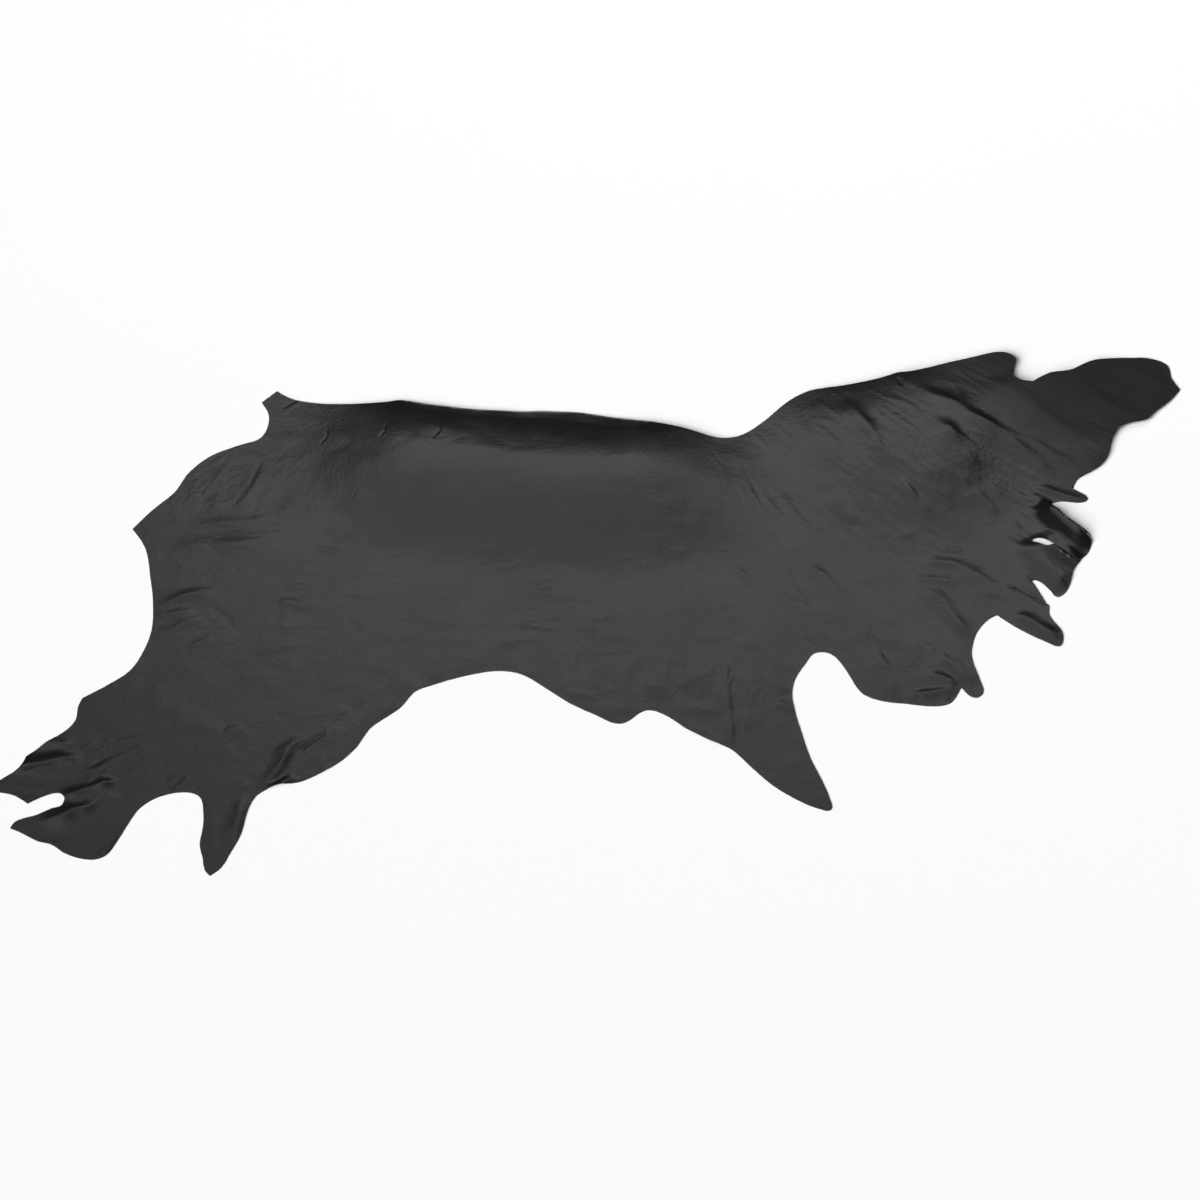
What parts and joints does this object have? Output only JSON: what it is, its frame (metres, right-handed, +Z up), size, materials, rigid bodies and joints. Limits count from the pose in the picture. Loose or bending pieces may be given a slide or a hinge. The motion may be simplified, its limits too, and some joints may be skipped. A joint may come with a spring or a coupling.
{
  "type": "leather side",
  "caption": "Half cattle hide of black finished leather, split along the back and laid flat, with shank, flank, brisket and cheek flaps, for cutting bags, belts and covers.",
  "frame": {"origin": "centre of the hide's length and width, on the surface that it lies on", "axes": "+X towards the head, +Y towards the back line, +Z up, out of the grain side"},
  "size_m": [2.3961, 1.4671, 0.0275],
  "materials": {
    "leather": "black, smooth fine grain with a satin sheen, loose grain at the belly and neck; flesh side dark and napped"
  },
  "bodies": {
    "root": {"leather_side": "leather"}
  },
  "joints": []
}
